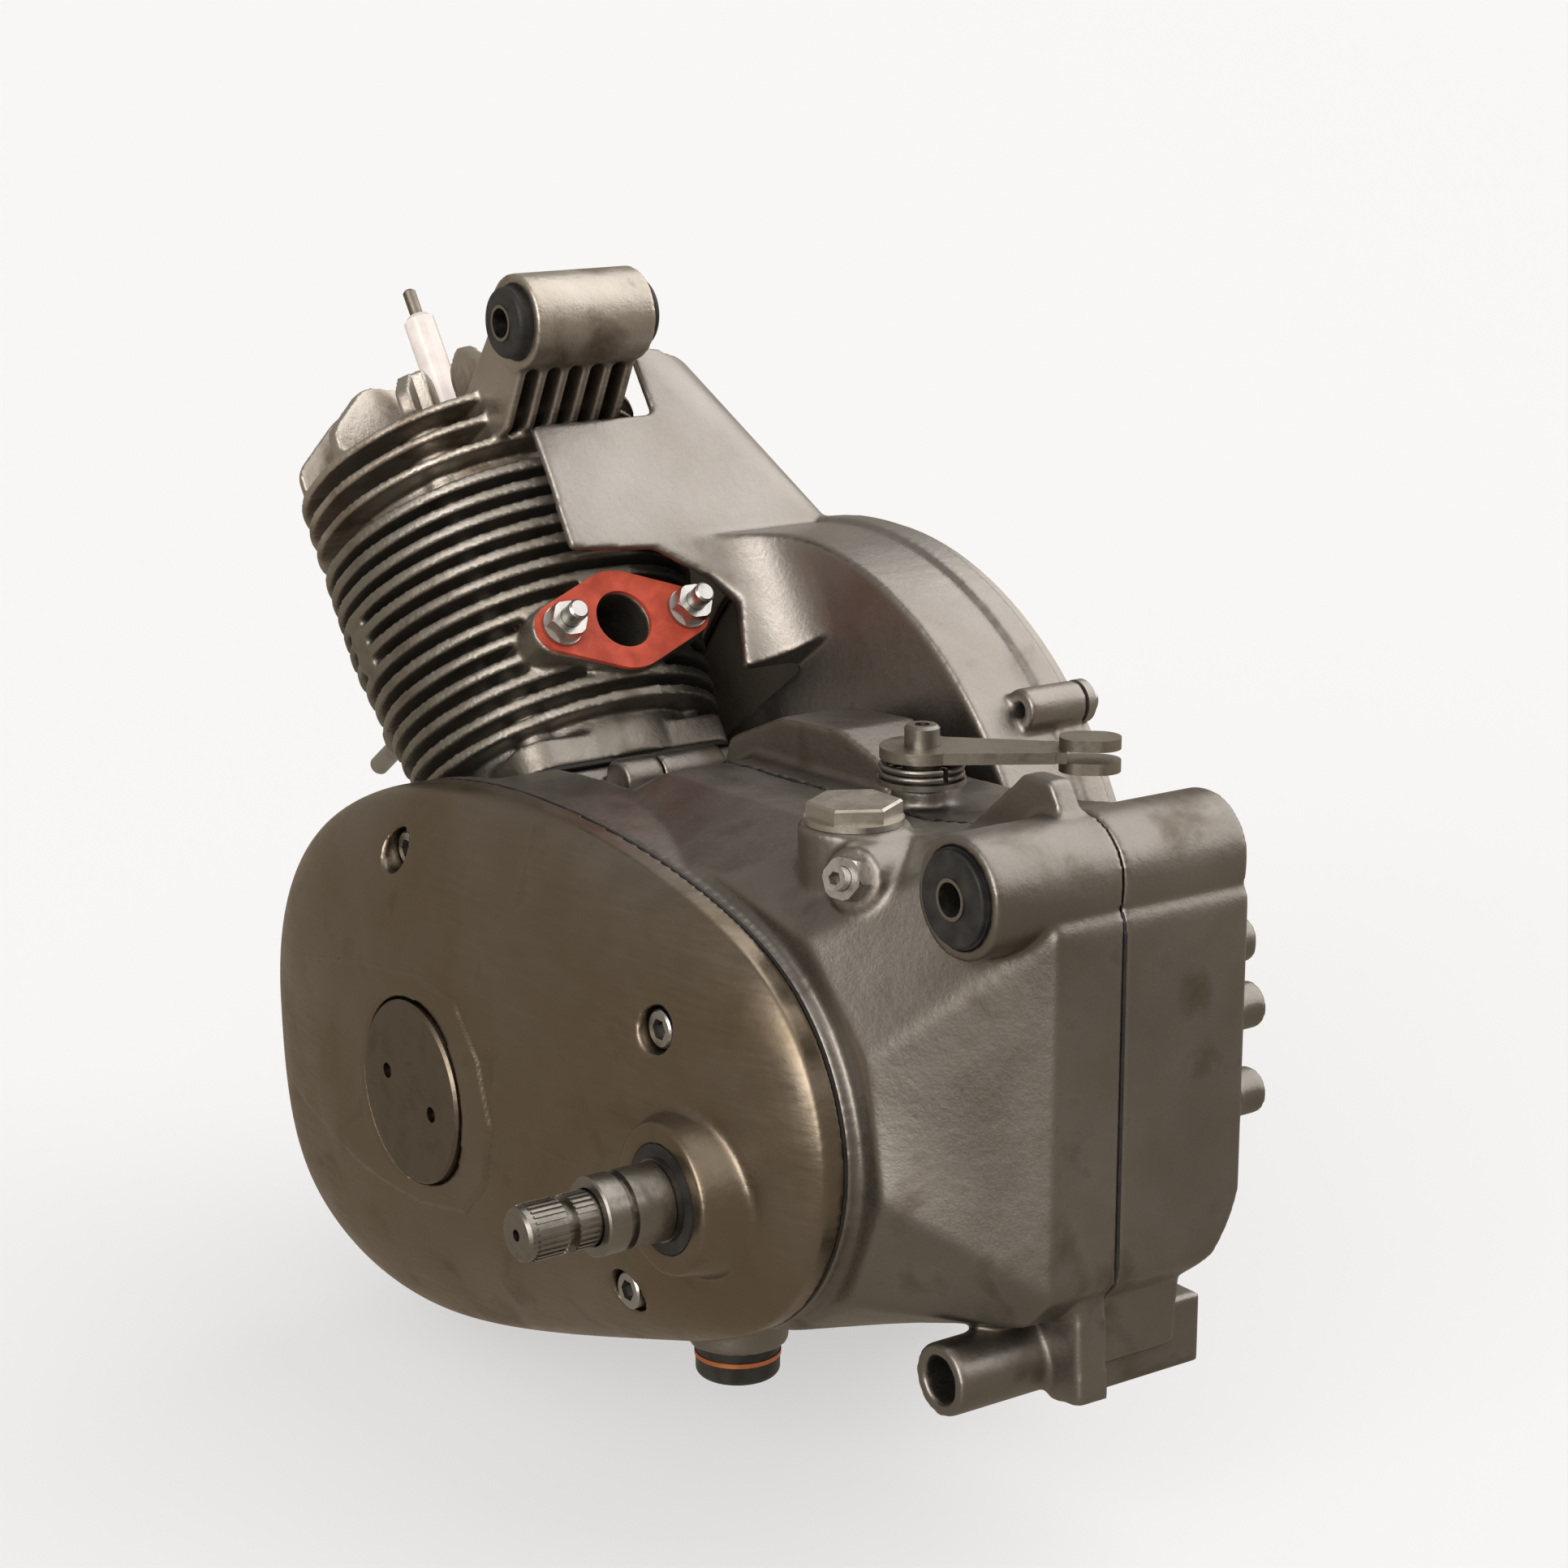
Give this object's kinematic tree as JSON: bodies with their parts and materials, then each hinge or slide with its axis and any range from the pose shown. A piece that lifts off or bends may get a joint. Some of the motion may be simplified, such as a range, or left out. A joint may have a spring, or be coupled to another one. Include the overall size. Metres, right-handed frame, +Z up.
{
  "type": "small gasoline engine",
  "caption": "Forward-leaning fan-cooled two-stroke engine with built-in gearbox, domed clutch cover, kick start and shift shafts, clutch lever and rubber-bushed frame mounts.",
  "frame": {"origin": "axis of the rear mount bore at the parting plane of the crankcase halves", "axes": "+X to the rear, away from the cylinder; +Y to the right, blower side, along the rear mount bore and the crankshaft; +Z up"},
  "size_m": [0.3571, 0.21, 0.3071],
  "materials": {
    "case_casting": "sand cast, satin",
    "cover_polished": "hand polished, satin",
    "cap_turned": "turned, dull",
    "shroud_casting": "bead blasted",
    "barrel_casting": "cast fins",
    "head_casting": "cast fins, oil stained",
    "gasket_black": "sealing compound",
    "head_gasket_metal": "flat sheet",
    "gasket_red": "red gasket paper",
    "bush_rubber": "moulded",
    "zinc_steel": "zinc plated",
    "dark_steel": "oiled",
    "lever_steel": "plated",
    "inner_steel": "machined",
    "piston_alloy": "turned",
    "stator_iron": "laminated",
    "filler_alloy": "turned",
    "drain_black": "black oxide",
    "copper_ring": "copper",
    "plug_steel": "plated",
    "plug_ceramic": "white glaze"
  },
  "bodies": {
    "engine_case": {"adjuster_lock_nut": "zinc_steel", "adjuster_screw": "zinc_steel", "base_gasket": "gasket_black", "blower_cover": "shroud_casting", "case_gasket": "gasket_black", "clutch_cover": "cover_polished", "clutch_cover_gasket": "gasket_black", "cover_screws": "zinc_steel", "crankcase_left": "case_casting", "crankcase_right": "case_casting", "cylinder": "barrel_casting", "cylinder_head": "head_casting", "cylinder_studs": "zinc_steel", "drain_plug": "drain_black", "drain_plug_ring": "copper_ring", "fan_shroud": "shroud_casting", "gearbox_bearings": "inner_steel", "head_gasket": "head_gasket_metal", "head_mount_bushes": "bush_rubber", "head_mount_sleeve": "dark_steel", "head_nuts": "zinc_steel", "inspection_cap": "cap_turned", "intake_gasket": "gasket_red", "intake_nuts": "zinc_steel", "intake_washers": "zinc_steel", "lever_spring": "dark_steel", "lever_washer": "dark_steel", "main_bearings": "inner_steel", "oil_filler_plug": "filler_alloy", "port_studs": "zinc_steel", "rear_mount_bushes": "bush_rubber", "rear_mount_sleeve": "dark_steel", "shift_shaft_seal": "bush_rubber", "shroud_screws": "zinc_steel", "spark_plug_insulator": "plug_ceramic", "spark_plug_shell": "plug_steel", "spark_plug_terminal": "plug_steel", "stator_plate": "stator_iron"},
    "crank": {"crankshaft": "inner_steel", "crankshaft_nuts": "inner_steel", "crank_pinion": "inner_steel", "flywheel": "inner_steel", "fan_wheel": "piston_alloy"},
    "piston_group": {"piston": "piston_alloy", "piston_rings": "inner_steel", "rod_pins": "inner_steel", "connecting_rod": "inner_steel"},
    "main_shaft_group": {"main_shaft": "inner_steel", "clutch_basket": "inner_steel", "clutch_hub": "inner_steel", "clutch_plates": "inner_steel", "clutch_pressure_plate": "inner_steel"},
    "output_group": {"output_shaft": "inner_steel", "output_gear_1": "inner_steel", "output_sprocket": "inner_steel"},
    "second_gear": {"output_gear_2": "inner_steel"},
    "kick_group": {"kick_shaft": "dark_steel"},
    "shift_group": {"shift_shaft": "dark_steel"},
    "lever_group": {"clutch_lever": "lever_steel", "lever_shaft": "dark_steel"}
  },
  "joints": [
    {"name": "crankshaft_spin", "type": "hinge", "parent": "engine_case", "child": "crank", "pos_m": [-0.183, 0, -0.091], "axis": [0, 1, 0], "continuous": true},
    {"name": "main_shaft_spin", "type": "hinge", "parent": "engine_case", "child": "main_shaft_group", "pos_m": [-0.1243, 0, -0.0735], "axis": [0, 1, 0], "continuous": true},
    {"name": "output_shaft_spin", "type": "hinge", "parent": "engine_case", "child": "output_group", "pos_m": [-0.08307, 0, -0.05427], "axis": [0, 1, 0], "continuous": true},
    {"name": "second_gear_spin", "type": "hinge", "parent": "engine_case", "child": "second_gear", "pos_m": [-0.08307, 0, -0.05427], "axis": [0, 1, 0], "continuous": true},
    {"name": "piston_stroke", "type": "slide", "parent": "engine_case", "child": "piston_group", "axis": [0.5736, 0, -0.8192], "range_m": [0, 0.0395]},
    {"name": "kick_start", "type": "hinge", "parent": "engine_case", "child": "kick_group", "pos_m": [-0.0648, 0, -0.0859], "axis": [0, 1, 0], "range_deg": [0, 70], "stiffness_Nm_per_rad": 0.3},
    {"name": "gear_shift", "type": "hinge", "parent": "engine_case", "child": "shift_group", "pos_m": [-0.0648, 0, -0.0859], "axis": [0, 1, 0], "range_deg": [-14, 14], "stiffness_Nm_per_rad": 0.6},
    {"name": "clutch_lever_turn", "type": "hinge", "parent": "engine_case", "child": "lever_group", "pos_m": [-0.076, 0.009, 0.005], "axis": [0, 0, 1], "range_deg": [0, 25], "stiffness_Nm_per_rad": 0.3}
  ],
  "couplings": [
    {"joint": "main_shaft_spin", "follows": "crankshaft_spin", "ratio": -0.4},
    {"joint": "output_shaft_spin", "follows": "crankshaft_spin", "ratio": 0.13333},
    {"joint": "second_gear_spin", "follows": "crankshaft_spin", "ratio": 0.21177}
  ]
}
